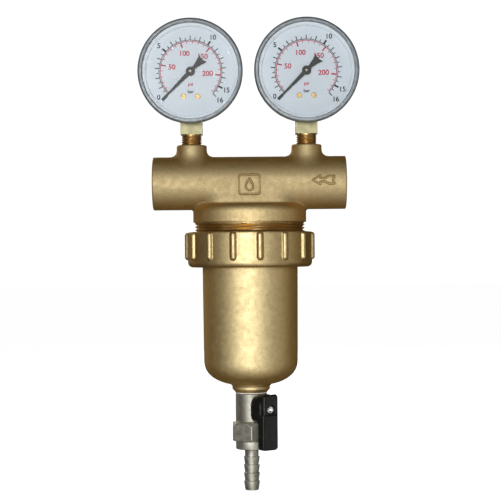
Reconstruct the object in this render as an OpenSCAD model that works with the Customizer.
// Tee-pattern water filter with two pressure gauges, a screwed bowl and a drain ball valve.
// Millimetres. The origin is the centre of the inlet mouth, +X points out of that mouth and +Z is up.

/* [Body] */
// Length of the body between its two pipe mouths
body_length = 124; // [120:1:140]
// Outside diameter of the horizontal tube
tube_d = 34.2; // [34:0.1:36]
// Minor diameter of the G3/4 thread in each mouth
port_d = 24.12; // [24:0.01:24.3]
// Depth of the thread in each mouth
port_depth = 17; // [14:0.5:18]
// Diameter of the water passage along the tube
passage_d = 20; // [19.6:0.1:21]
// Diameter of the neck below the tube
neck_d = 72.8; // [72:0.1:74]
// Height of the neck's top edge below the pipe axis
neck_top = 13.8; // [13:0.1:14.5]
// Outside diameter of the thread on the neck
neck_thread_d = 70.6; // [70:0.1:71]
// Distance between the two gauge stems
gauge_spacing = 74; // [72:1:78]
// Diameter of the bosses that carry the gauges
boss_d = 19.4; // [18.8:0.1:20]
// Height of the bosses' top faces above the pipe axis
boss_top = 24.6; // [24:0.1:26]

/* [Ring nut] */
// Diameter of the ring nut between its ribs
nut_d = 80; // [79:0.1:81]
// Height of the ring nut
nut_height = 22.7; // [22.5:0.1:23]
// Number of grip ribs around the ring nut
rib_count = 15; // [12:1:18]
// Diameter of each half-round rib
rib_d = 4; // [3:0.1:4.5]
// Height of the lip that carries the bowl
nut_lip = 4.1; // [3.9:0.1:4.1]

/* [Bowl] */
// Outside diameter of the bowl under the nut
bowl_d = 61.3; // [60.8:0.1:61.4]
// Outside diameter of the bowl where its dome starts
bowl_low_d = 60.4; // [60:0.1:61]
// Height of the start of the dome below the pipe axis
dome_top = 113.5; // [113:0.1:114]
// Depth of the dome
dome_depth = 16.9; // [16.5:0.1:17]
// Wall of the bowl
bowl_wall = 3; // [2.8:0.1:3.2]

/* [Drain] */
// Diameter of the drain valve's body
valve_d = 20.2; // [19.6:0.1:20.4]
// Width across the flats of the valve's hexagon
hex_flats = 24; // [22:0.5:24]
// Angle of the lever's stem from straight ahead, towards the inlet
stem_angle = 37; // [0:1:60]
// Height of the valve's stem below the pipe axis
stem_drop = 144.7; // [144.5:0.1:144.8]
// Width of the lever
lever_w = 12.2; // [11:0.1:13]
// Length of the lever below its stem
lever_reach = 25.8; // [22:0.1:30]
// Largest diameter of the hose tail's barbs
barb_d = 10.3; // [9.6:0.1:10.4]
// Number of barbs
barb_count = 4; // [2:1:4]

/* [Gauges] */
// Height of the dials' centres above the pipe axis
gauge_height = 71.1; // [70:0.1:74]
// Outside diameter of a gauge case
case_d = 63; // [63:0.1:63.4]
// Outside diameter of a bezel
bezel_d = 66.8; // [66.5:0.1:68]
// Length of a pointer from its arbor to its tip
pointer_reach = 24.8; // [20:0.1:26]
// Side of the square on each gauge stem
stem_square = 14; // [13:0.5:14]

/* [Hidden] */
$fn = 96;
half_length = body_length / 2;
tube_r = tube_d / 2;
neck_r = neck_d / 2;
thread_r = neck_thread_d / 2;
neck_bottom = 43.5;
neck_edge = 5;
neck_step = 25.3;
chamber_r = 31;
chamber_top = 19;
seat_r = 14;
seat_bottom = 30;
outlet_r = 9.6;
down_r = 5.5;
down_x = 24;
wall_x = 18;
stem_hole_r = 6.7;

nut_top = 31.3;
nut_r = nut_d / 2;
nut_bore_r = thread_r + 0.1;
lip_bore_r = 31.2;
nut_bottom = nut_top + nut_height;
lip_top = nut_bottom - nut_lip;
rib_stop = 4.5;
rib_turn = 9;

flange_r = 35;
flange_top = neck_bottom + 0.4;
washer_h = 1.2;
flange_bottom = lip_top - washer_h - 0.1;
ring_centre_r = 33;
ring_section_r = 0.95;
dome_power = 2.4;
drain_boss_r = 12.1;
drain_boss_low_r = 10.25;
drain_boss_bottom = 134.5;
drain_hole_r = 8.4;

cage_r = 18;
cap_r = 19.6;
cap_top = 31;
cage_top = 34;
cage_bottom = 118;
cap_bottom = 122;

valve_r = valve_d / 2;
valve_top = drain_boss_bottom + 0.6;
shank_top = 126.8;
hex_top = 153.4;
hex_bottom = 165.5;
ball_r = 5.8;
ball_gap = 0.05;
ball_bore_r = 3;
chamber_valve_r = 6.9;
seat_h = 2.5;
tail_top = stem_drop + 6.1;
collar_bottom = 171.1;
barb_top = 176;
barb_pitch = 5.2;
tail_end = 197.6;
stem_r = 2.5;
hub_r = 8.6;
hub_start = 10.4;
blade_start = 14.3;
lever_face = 20.3;
lever_rise = 9.7;
screw_seat = 18;

case_r = case_d / 2;
case_wall = 0.9;
case_back = 9.6;
case_front = -15.2;
bezel_r = bezel_d / 2;
window_front = -17.2;
dial_front = -10.9;
dial_back = -10.3;
dial_r = 30.4;
screw_x = 4.64;
screw_z = -15.9;
tube_mean_r = 21.5;
root_angle = 245;
tip_angle = -5;
root = tube_mean_r * [cos(root_angle), sin(root_angle)];
tip_pin = [16.2, -2.33];
tail_pin = [15.15, -11.33];
sector_pivot = [8.83, -9.81];
gear_module = 0.2;
pinion_teeth = 12;
sector_teeth = 120;
pinion_r = gear_module * pinion_teeth / 2;
sector_r = gear_module * sector_teeth / 2;
pin_r = 0.6;
arbor_r = 0.7;
square_bottom = 31.4 - gauge_height;
shank_bottom = 18.3 - gauge_height;
back_plate = [-1.2, -0.2];
front_plate = [-8.2, -7.2];
gear_front = -4;
gear_back = -3;

// Points of a circular arc, from one angle to another
function arc(r, from, to, steps, centre = [0, 0]) =
    [for (i = [0 : steps]) let (a = from + (to - from) * i / steps) centre + r * [cos(a), sin(a)]];

// Points down a dome whose outline is a rounded square-like curve, ending at radius r_end
function dome(r, depth, top, r_end, steps) =
    let (last = acos(pow(r_end / r, dome_power / 2)))
    [for (i = [0 : steps]) let (a = last * i / steps)
        [r * pow(cos(a), 2 / dome_power), -top - depth * pow(sin(a), 2 / dome_power)]];

// The same points in the opposite order
function backwards(points) = [for (i = [len(points) - 1 : -1 : 0]) points[i]];

// Outline of straight-sided gear teeth, as wedges around a circle
module teeth(pitch_r, count, first, last, tip, base) {
    step = 360 / count;
    tip_half = 0.075;
    base_half = 0.15;
    for (i = [first : last])
        rotate(i * step)
            polygon([[pitch_r - base, -base_half], [pitch_r + tip, -tip_half],
                     [pitch_r + tip, tip_half], [pitch_r - base, base_half]]);
}

// Moves a shape drawn around the bowl's axis to its place
module on_bowl_axis() {
    translate([-half_length, 0, 0]) children();
}

// Moves a shape drawn around a dial's centre to its place; side is 1 at the inlet and -1 at the outlet
module gauge_at(side) {
    translate([side * gauge_spacing / 2 - half_length, 0, gauge_height]) children();
}

// Ring or disc around the Z axis
module ring(r_out, r_in, z_low, z_high) {
    translate([0, 0, z_low])
        linear_extrude(z_high - z_low)
            difference() {
                circle(r_out);
                if (r_in > 0) circle(r_in);
            }
}

// Rod along X
module rod_x(r, x_low, x_high) {
    translate([x_low, 0, 0]) rotate([0, 90, 0]) cylinder(r = r, h = x_high - x_low);
}

// Extrudes a drawing of the X-Z plane along Y, between a front and a back
module along_y(front, back) {
    translate([0, back, 0]) rotate([90, 0, 0]) linear_extrude(back - front) children();
}

// Rod along Y at a place in the X-Z plane
module rod_y(r, front, back, at = [0, 0]) {
    along_y(front, back) translate(at) circle(r);
}

// Puts a shape drawn along +Z on the drain valve's stem axis
module on_stem_axis() {
    translate([0, 0, -stem_drop]) rotate([90, 0, stem_angle]) children();
}

// ---------- body ----------

module neck_profile() {
    polygon(concat(
        [[0, -neck_top]],
        arc(neck_edge, 90, 0, 6, [neck_r - neck_edge, -neck_top - neck_edge]),
        [[neck_r, -neck_step + 0.4], [neck_r - 0.4, -neck_step], [thread_r, -neck_step],
         [thread_r, -neck_bottom + 0.8], [thread_r - 0.8, -neck_bottom], [0, -neck_bottom]]));
}

module flow_arrow() {
    polygon([[-7, 0], [0, 4], [0, 1.3], [4, 1.3], [7.5, 3.4], [12.5, 3.4], [11, 0],
             [12.5, -3.4], [7.5, -3.4], [4, -1.3], [0, -1.3], [0, -4]]);
}

module body_outside() {
    wall_y = tube_r - 0.1;
    saddle_half = 30;
    arrow_x = 45;
    arrow_scale = 0.72;
    rod_x(tube_r, -half_length, half_length);
    translate([-saddle_half, -wall_y, -neck_top - 2]) cube([2 * saddle_half, 2 * wall_y, neck_top + 2]);
    rotate_extrude() neck_profile();
    for (side = [-1, 1])
        translate([side * gauge_spacing / 2, 0, 0]) {
            cylinder(r = boss_d / 2, h = boss_top - 1);
            translate([0, 0, boss_top - 1]) cylinder(r1 = boss_d / 2, r2 = boss_d / 2 - 1, h = 1);
        }
    translate([arrow_x, 0, 1]) along_y(-tube_r - 0.3, -tube_r + 2) scale(arrow_scale) flow_arrow();
}

module body_passages() {
    rod_x(passage_d / 2, wall_x, half_length + 1);
    rod_x(passage_d / 2, -half_length - 1, outlet_r - 3);
    rod_x(port_d / 2, half_length - port_depth, half_length + 1);
    rod_x(port_d / 2, -half_length - 1, -half_length + port_depth);
    translate([0, 0, -neck_bottom]) cylinder(r = outlet_r, h = neck_bottom);
    translate([down_x, 0, -chamber_top - 1]) cylinder(r = down_r, h = chamber_top + 1);
    ring(chamber_r, 0, -neck_bottom - 1, -seat_bottom);
    ring(chamber_r, seat_r, -seat_bottom - 0.5, -chamber_top);
    for (side = [-1, 1])
        translate([side * gauge_spacing / 2, 0, 0]) {
            translate([0, 0, 12]) cylinder(r = stem_hole_r, h = boss_top);
            cylinder(r = 2.5, h = 13);
        }
}

module filter_body() {
    on_bowl_axis() color("#b8954f") difference() {
        body_outside();
        body_passages();
    }
}

// ---------- ring nut ----------

module nut_profile() {
    edge = 3;
    polygon(concat(
        [[lip_bore_r, -nut_bottom]],
        arc(edge, -90, 0, 6, [nut_r - edge, -nut_bottom + edge]),
        [[nut_r, -nut_top - 1], [nut_r - 1, -nut_top], [nut_bore_r, -nut_top],
         [nut_bore_r, -lip_top], [lip_bore_r, -lip_top]]));
}

module grip_ribs() {
    rib_r = rib_d / 2;
    length = nut_height - rib_stop - 1;
    for (i = [0 : rib_count - 1])
        rotate(rib_turn - 90 + i * 360 / rib_count)
            translate([nut_r, 0, -nut_top - 0.6 - length]) {
                cylinder(r = rib_r, h = length, $fn = 32);
                translate([0, 0, -rib_r]) cylinder(r1 = 0.7, r2 = rib_r, h = rib_r, $fn = 32);
            }
}

module ring_nut() {
    on_bowl_axis() color("#c19c55") union() {
        rotate_extrude() nut_profile();
        difference() {
            grip_ribs();
            ring(nut_r - 1, 0, -nut_bottom - 1, -nut_top + 1);
        }
    }
}

// ---------- bowl and cartridge ----------

module bowl_profile() {
    in_r = bowl_low_d / 2 - bowl_wall;
    in_depth = dome_depth - bowl_wall;
    groove_half = ring_section_r + 0.15;
    groove_floor = flange_top + 1.8;
    polygon(concat(
        [[bowl_d / 2 - bowl_wall, -flange_top], [ring_centre_r - groove_half, -flange_top],
         [ring_centre_r - groove_half, -groove_floor], [ring_centre_r + groove_half, -groove_floor],
         [ring_centre_r + groove_half, -flange_top], [flange_r, -flange_top],
         [flange_r, -flange_bottom], [bowl_d / 2, -flange_bottom], [bowl_d / 2, -nut_bottom]],
        dome(bowl_low_d / 2, dome_depth, dome_top, drain_boss_r, 14),
        [[drain_boss_r, -drain_boss_bottom + 2.1], [drain_boss_low_r, -drain_boss_bottom],
         [drain_hole_r, -drain_boss_bottom]],
        backwards(dome(in_r, in_depth, dome_top, drain_hole_r, 14))));
}

module bowl() {
    on_bowl_axis() color("#c8a35c") rotate_extrude() bowl_profile();
}

module bowl_o_ring() {
    on_bowl_axis() color("#202020")
        translate([0, 0, -neck_bottom - 0.1 - ring_section_r])
            rotate_extrude() translate([ring_centre_r, 0]) circle(ring_section_r, $fn = 24);
}

module slip_washer() {
    on_bowl_axis() color("#e8e4d8")
        ring(flange_r, lip_bore_r + 0.1, -lip_top + 0.05, -lip_top + 0.05 + washer_h);
}

module cartridge_seal() {
    on_bowl_axis() color("#1c1c1c") ring(seat_r, 9.7, -cap_top + 0.05, -seat_bottom - 0.05);
}

module cartridge_top_cap() {
    on_bowl_axis() color("#e6e6e0") difference() {
        union() {
            ring(cap_r, 0, -cage_top, -cap_top);
            ring(outlet_r - 0.1, 0, -cap_top - 1, -22);
            ring(cage_r - 1.1, 0, -cage_top - 4, -cage_top + 1);
        }
        ring(7.5, 0, -cage_top - 5, -20);
        ring(cage_r - 4, 0, -cage_top - 5, -cage_top);
    }
}

module cartridge_cage() {
    slot_rows = 7;
    slot_pairs = 5;
    slot_h = 8;
    slot_w = 7;
    gap = (cage_bottom - cage_top - slot_rows * slot_h) / (slot_rows + 1);
    on_bowl_axis() color("#b9bcc0") difference() {
        ring(cage_r, cage_r - 1, -cage_bottom, -cage_top);
        for (row = [0 : slot_rows - 1], pair = [0 : slot_pairs - 1])
            rotate(pair * 180 / slot_pairs)
                translate([-cage_r - 1, -slot_w / 2, -cage_bottom + gap + row * (slot_h + gap)])
                    cube([2 * cage_r + 2, slot_w, slot_h]);
    }
}

module cartridge_mesh() {
    on_bowl_axis() color("#c9ccd0") ring(cage_r + 0.6, cage_r + 0.05, -cage_bottom, -cage_top);
}

module cartridge_bottom_cap() {
    fins = 4;
    on_bowl_axis() color("#e6e6e0") union() {
        ring(cap_r, 0, -cap_bottom, -cage_bottom);
        ring(cage_r - 1.1, cage_r - 4, -cage_bottom - 1, -cage_bottom + 4);
        for (i = [0 : fins - 1])
            rotate(45 + i * 360 / fins) translate([12, -1, -124.4]) cube([3.2, 2, 124.4 - cap_bottom + 1]);
    }
}

// ---------- drain valve ----------

module drain_thread_seal() {
    on_bowl_axis() color("#f0f0ec")
        ring(drain_boss_low_r - 0.15, drain_hole_r, -valve_top + 0.05, -drain_boss_bottom - 0.05);
}

module valve_hexagon() {
    hex_r = hex_flats / 2 / cos(30);
    bevel = 1.4;
    intersection() {
        translate([0, 0, -hex_bottom]) rotate(90) cylinder(r = hex_r, h = hex_bottom - hex_top, $fn = 6);
        rotate_extrude()
            polygon([[0, -hex_bottom - 1], [hex_r + 1, -hex_bottom - 1], [hex_r + 1, -hex_top - bevel],
                     [hex_flats / 2 - 0.6, -hex_top + 0.01], [0, -hex_top + 0.01]]);
    }
}

module drain_valve_body() {
    on_bowl_axis() color("#aaa69e") difference() {
        union() {
            ring(drain_hole_r - 0.1, 0, -valve_top - 1, -shank_top);
            ring(valve_r, 0, -hex_bottom, -valve_top);
            valve_hexagon();
            on_stem_axis() translate([0, 0, valve_r - 3]) cylinder(r = 5.2, h = 5.8);
        }
        ring(4, 0, -stem_drop, -shank_top + 1);
        ring(chamber_valve_r, 0, -hex_bottom - 1, -stem_drop + 6.1);
        on_stem_axis() cylinder(r = stem_r + 0.08, h = 20);
    }
}

module valve_seat(side) {
    on_bowl_axis() color("#f2f2ee") translate([0, 0, -stem_drop]) difference() {
        translate([0, 0, side * 6 - (side > 0 ? seat_h : 0)])
            linear_extrude(seat_h) difference() {
                circle(chamber_valve_r - 0.1);
                circle(ball_bore_r + 0.2);
            }
        sphere(r = ball_r + ball_gap);
    }
}

module drain_seat_upper() { valve_seat(1); }

module drain_seat_lower() { valve_seat(-1); }

module drain_ball() {
    on_bowl_axis() color("#d5d8da") translate([0, 0, -stem_drop]) difference() {
        sphere(r = ball_r);
        translate([0, 0, -10]) cylinder(r = ball_bore_r, h = 20);
        rotate(stem_angle) translate([-1, -ball_r - 1, -3]) cube([2, 2.6, 6]);
    }
}

module drain_stem() {
    on_bowl_axis() color("#b5b2a8") on_stem_axis() difference() {
        union() {
            translate([0, 0, ball_r + 0.2]) cylinder(r = stem_r, h = 7.2);
            translate([-0.85, -2, 4.4]) cube([1.7, 4, 2]);
            translate([-1.6, -1.6, ball_r + 7]) cube([3.2, 3.2, 3.5]);
        }
        translate([0, 0, 10.5]) cylinder(r = 1.15, h = 7);
        translate([0, 0, 8.4]) difference() {
            cylinder(r = stem_r + 1, h = 1.2);
            translate([0, 0, -1]) cylinder(r = 1.5, h = 4);
        }
    }
}

module stem_o_ring() {
    on_bowl_axis() color("#1c1c1c") on_stem_axis()
        translate([0, 0, 9]) rotate_extrude() translate([2.02, 0]) circle(0.5, $fn = 24);
}

module lever_outline() {
    half = lever_w / 2;
    corner = 2.5;
    nose = 1.6;
    polygon(concat(
        arc(corner, 0, 90, 5, [half - corner, lever_rise - corner]),
        arc(corner, 90, 180, 5, [-half + corner, lever_rise - corner]),
        [[-half, -lever_reach + nose + 1]],
        arc(half * 1.25, 217, 323, 8, [0, -lever_reach + half * 1.25]),
        [[half, -lever_reach + nose + 1]]));
}

module drain_lever() {
    pad_low = -3.5;
    pad_rise = 0.6;
    on_bowl_axis() color("#151515") on_stem_axis() difference() {
        union() {
            translate([0, 0, blade_start]) linear_extrude(lever_face - blade_start) lever_outline();
            translate([0, 0, hub_start]) cylinder(r = hub_r, h = 4.4);
            translate([0, 0, hub_start + 4.4]) cylinder(r1 = hub_r, r2 = 7, h = 3.6);
            translate([-lever_w / 2 + 0.01, pad_low, lever_face - 1])
                cube([lever_w - 0.02, lever_rise - 2.5 - pad_low, 1 + pad_rise]);
        }
        translate([0, 0, hub_start - 1]) cylinder(r = 5.7, h = 3.9);
        translate([-1.7, -1.7, hub_start]) cube([3.4, 3.4, 16.5 - hub_start]);
        cylinder(r = 1.5, h = 30);
        translate([0, 0, screw_seat]) cylinder(r = 2.7, h = 10);
    }
}

module lever_screw() {
    on_bowl_axis() color("#c4c8cc") on_stem_axis() difference() {
        union() {
            translate([0, 0, 11.5]) cylinder(r = 1.1, h = screw_seat - 11);
            translate([0, 0, screw_seat + 0.05]) cylinder(r = 2.4, h = 2.4);
        }
        translate([0, 0, screw_seat + 1.1]) cylinder(r = 1.3, h = 3, $fn = 6);
    }
}

// Outline of the hose tail's outside, each barb with its sharp edge on top
function barbs() = [for (i = [0 : barb_count - 1], k = [0, 1])
    [k == 0 ? barb_d / 2 - 0.6 : barb_d / 2, -barb_top - i * barb_pitch - k * 0.2]];

module hose_tail() {
    on_bowl_axis() color("#a8a49c") rotate_extrude()
        polygon(concat(
            [[ball_bore_r, -tail_top], [chamber_valve_r - 0.1, -tail_top],
             [chamber_valve_r - 0.1, -hex_bottom - 0.05], [valve_r, -hex_bottom - 0.05],
             [valve_r, -collar_bottom + 0.5], [valve_r - 0.5, -collar_bottom],
             [barb_d / 2 - 0.6, -collar_bottom]],
            barbs(),
            [[barb_d / 2 - 0.8, -tail_end], [ball_bore_r, -tail_end]]));
}

// ---------- gauges, drawn around the dial's centre with the front towards -Y ----------

module gauge_case() {
    color("#9aa0a4") difference() {
        rod_y(case_r, case_front, case_back);
        rod_y(case_r - case_wall, case_front - 1, case_back - case_wall);
        translate([0, 0, -case_r - 2]) cylinder(r = 6, h = 6);
    }
}

module gauge_bezel() {
    color("#8f979c") rotate([90, 0, 0]) rotate_extrude()
        polygon(concat(
            [[case_r + 0.05, 11.5], [bezel_r, 11.5]],
            arc(1.9, 0, 90, 6, [bezel_r - 1.9, 17]),
            [[30.7, 18.5], [30.7, 17.25], [case_r + 0.05, 17.25]]));
}

module gauge_window() {
    color("#dfeef5", 0.3) rod_y(31.2, window_front, case_front - 0.05);
}

module gauge_window_ring() {
    color("#eef2f4") difference() {
        rod_y(case_r - case_wall - 0.1, case_front, dial_front - 0.05);
        rod_y(28.4, case_front - 1, dial_front + 1);
    }
}

module gauge_dial() {
    color("#eef3f6") difference() {
        rod_y(dial_r, dial_front, dial_back);
        rod_y(1.6, dial_front - 1, dial_back + 1);
        for (side = [-1, 1]) rod_y(1, dial_front - 1, dial_back + 1, [side * screw_x, screw_z]);
    }
}

module gauge_dial_screws() {
    color("#c9a24a") for (side = [-1, 1]) {
        rod_y(1.7, dial_front - 0.7, dial_front - 0.05, [side * screw_x, screw_z]);
        rod_y(0.8, dial_front - 0.5, -8.4, [side * screw_x, screw_z]);
    }
}

module gauge_socket() {
    half = stem_square / 2;
    color("#bfa55a") difference() {
        union() {
            translate([0, 0, shank_bottom])
                cylinder(r = stem_hole_r - 0.1, h = square_bottom - shank_bottom + 1);
            difference() {
                translate([-half, -half, square_bottom]) cube([stem_square, stem_square, 14]);
                rod_y(case_r + 0.05, -20, 20);
            }
            translate([0, 0, -34]) cylinder(r = 5.9, h = 8);
            translate([root[0], -0.2, -27.4]) cube([8 - root[0], 6.2, 13.9]);
        }
        translate([0, 0, shank_bottom - 1]) cylinder(r = 1.5, h = -19 - shank_bottom);
        rod_y(2.25, -1, 7, root);
        for (side = [-1, 1]) rod_y(0.9, -1, 7, [side * screw_x, screw_z]);
    }
}

module gauge_movement_frame() {
    plate = [[-6.5, -18.5], [8, -18.5], [8, -14], [12.5, -12.5], [13, 3.2], [-3.5, 3.2], [-6.5, -1]];
    color("#c6a95c") difference() {
        union() {
            for (y = [back_plate, front_plate]) along_y(y[0], y[1]) polygon(plate);
            for (side = [-1, 1]) rod_y(1.6, dial_back + 0.05, back_plate[1] - 0.1, [side * screw_x, screw_z]);
            rod_y(1, front_plate[0], back_plate[1] - 0.1, [10.5, 1.5]);
        }
        rod_y(pin_r + 0.05, -9, 0, sector_pivot);
        rod_y(arbor_r + 0.05, -9, 0);
        for (side = [-1, 1]) rod_y(0.9, -12, 1, [side * screw_x, screw_z]);
    }
}

module gauge_bourdon_tube() {
    far = 40;
    section = [-2.5, 5.5];
    color("#c08a55") union() {
        along_y(section[0], section[1]) difference() {
            circle(tube_mean_r + 1.5);
            circle(tube_mean_r - 1.5);
            polygon(concat([[0, 0]], arc(far, root_angle - 360, tip_angle, 4)));
        }
        rod_y(2.2, 0, section[1], root);
        along_y(gear_front, -2) translate(tip_pin) {
            circle(1.5);
            translate([0, -1.5]) square([5.2, 3]);
        }
        rod_y(pin_r, gear_front - 1.4, gear_front + 0.5, tip_pin);
    }
}

module gauge_link() {
    run = tail_pin - tip_pin;
    color("#cdb06a") along_y(-5.2, -4.2) difference() {
        union() {
            translate(tip_pin) circle(1.4);
            translate(tail_pin) circle(1.5);
            translate(tip_pin) rotate(atan2(run[1], run[0])) translate([0, -0.8]) square([norm(run), 1.6]);
        }
        translate(tip_pin) circle(pin_r + 0.05);
        translate(tail_pin) circle(pin_r + 0.35);
    }
}

// The sector starts near one end of its teeth, with a gap facing a tooth of the pinion
module gauge_sector_gear() {
    to_pinion = atan2(-sector_pivot[1], -sector_pivot[0]);
    step = 360 / sector_teeth;
    spread = arc(sector_r - 0.35, to_pinion - 33, to_pinion + 6, 13);
    tail = tail_pin - sector_pivot;
    color("#d0b060") union() {
        along_y(gear_front, gear_back) translate(sector_pivot) {
            circle(2);
            polygon(concat([[0, 0]], spread));
            rotate(atan2(tail[1], tail[0])) translate([0, -1]) square([norm(tail), 2]);
            translate(tail) circle(1.3);
            rotate(to_pinion + step / 2) teeth(sector_r, sector_teeth, -11, 1, 0.12, 0.5);
        }
        rod_y(pin_r, gear_front - 1.5, gear_front + 0.5, tail_pin);
        rod_y(pin_r, front_plate[0] - 0.3, back_plate[1] - 0.1, sector_pivot);
    }
}

module gauge_pinion() {
    facing = atan2(sector_pivot[1], sector_pivot[0]);
    color("#c9c4b0") union() {
        along_y(gear_front - 0.4, gear_back + 0.4) {
            circle(pinion_r - 0.35);
            rotate(facing) teeth(pinion_r, pinion_teeth, 0, pinion_teeth - 1, 0.12, 0.5);
        }
        rod_y(arbor_r, -13.6, back_plate[1] - 0.1);
    }
}

module gauge_hairspring() {
    turns = 4;
    steps = 20 * turns;
    inner = arbor_r + 0.05;
    growth = 0.8;
    strip = 0.12;
    spiral = [for (i = [0 : steps]) let (t = i / steps * turns)
        (inner + growth * t) * [cos(360 * t), sin(360 * t)]];
    outer = backwards([for (p = spiral) p * (1 + strip / norm(p))]);
    color("#b58a4a") along_y(-6.3, -5.8) polygon(concat(spiral, outer));
}

module gauge_pointer() {
    tail_reach = 11.4;
    color("#141414") difference() {
        union() {
            along_y(-12.9, -12.4) rotate(-135)
                polygon([[pointer_reach, 0.45], [8, 1.05], [2, 1.4], [-4, 1.2], [-8, 2.1],
                         [-tail_reach, 3.3], [-tail_reach + 0.9, 0], [-tail_reach, -3.3],
                         [-8, -2.1], [-4, -1.2], [2, -1.4], [8, -1.05], [pointer_reach, -0.45]]);
            rod_y(2.9, -13.3, -12.1);
        }
        rod_y(arbor_r + 0.02, -14, -11);
    }
}

filter_body();
ring_nut();
bowl();
bowl_o_ring();
slip_washer();
cartridge_seal();
cartridge_top_cap();
cartridge_cage();
cartridge_mesh();
cartridge_bottom_cap();
drain_thread_seal();
drain_valve_body();
drain_seat_upper();
drain_seat_lower();
drain_ball();
drain_stem();
stem_o_ring();
drain_lever();
lever_screw();
hose_tail();
gauge_at(1) gauge_socket();  // inlet_gauge_socket
gauge_at(1) gauge_case();  // inlet_gauge_case
gauge_at(1) gauge_bezel();  // inlet_gauge_bezel
gauge_at(1) gauge_window();  // inlet_gauge_window
gauge_at(1) gauge_window_ring();  // inlet_gauge_window_ring
gauge_at(1) gauge_dial();  // inlet_gauge_dial
gauge_at(1) gauge_dial_screws();  // inlet_gauge_dial_screws
gauge_at(1) gauge_movement_frame();  // inlet_gauge_movement_frame
gauge_at(1) gauge_bourdon_tube();  // inlet_gauge_bourdon_tube
gauge_at(1) gauge_link();  // inlet_gauge_link
gauge_at(1) gauge_sector_gear();  // inlet_gauge_sector_gear
gauge_at(1) gauge_pinion();  // inlet_gauge_pinion
gauge_at(1) gauge_hairspring();  // inlet_gauge_hairspring
gauge_at(1) gauge_pointer();  // inlet_gauge_pointer
gauge_at(-1) gauge_socket();  // outlet_gauge_socket
gauge_at(-1) gauge_case();  // outlet_gauge_case
gauge_at(-1) gauge_bezel();  // outlet_gauge_bezel
gauge_at(-1) gauge_window();  // outlet_gauge_window
gauge_at(-1) gauge_window_ring();  // outlet_gauge_window_ring
gauge_at(-1) gauge_dial();  // outlet_gauge_dial
gauge_at(-1) gauge_dial_screws();  // outlet_gauge_dial_screws
gauge_at(-1) gauge_movement_frame();  // outlet_gauge_movement_frame
gauge_at(-1) gauge_bourdon_tube();  // outlet_gauge_bourdon_tube
gauge_at(-1) gauge_link();  // outlet_gauge_link
gauge_at(-1) gauge_sector_gear();  // outlet_gauge_sector_gear
gauge_at(-1) gauge_pinion();  // outlet_gauge_pinion
gauge_at(-1) gauge_hairspring();  // outlet_gauge_hairspring
gauge_at(-1) gauge_pointer();  // outlet_gauge_pointer
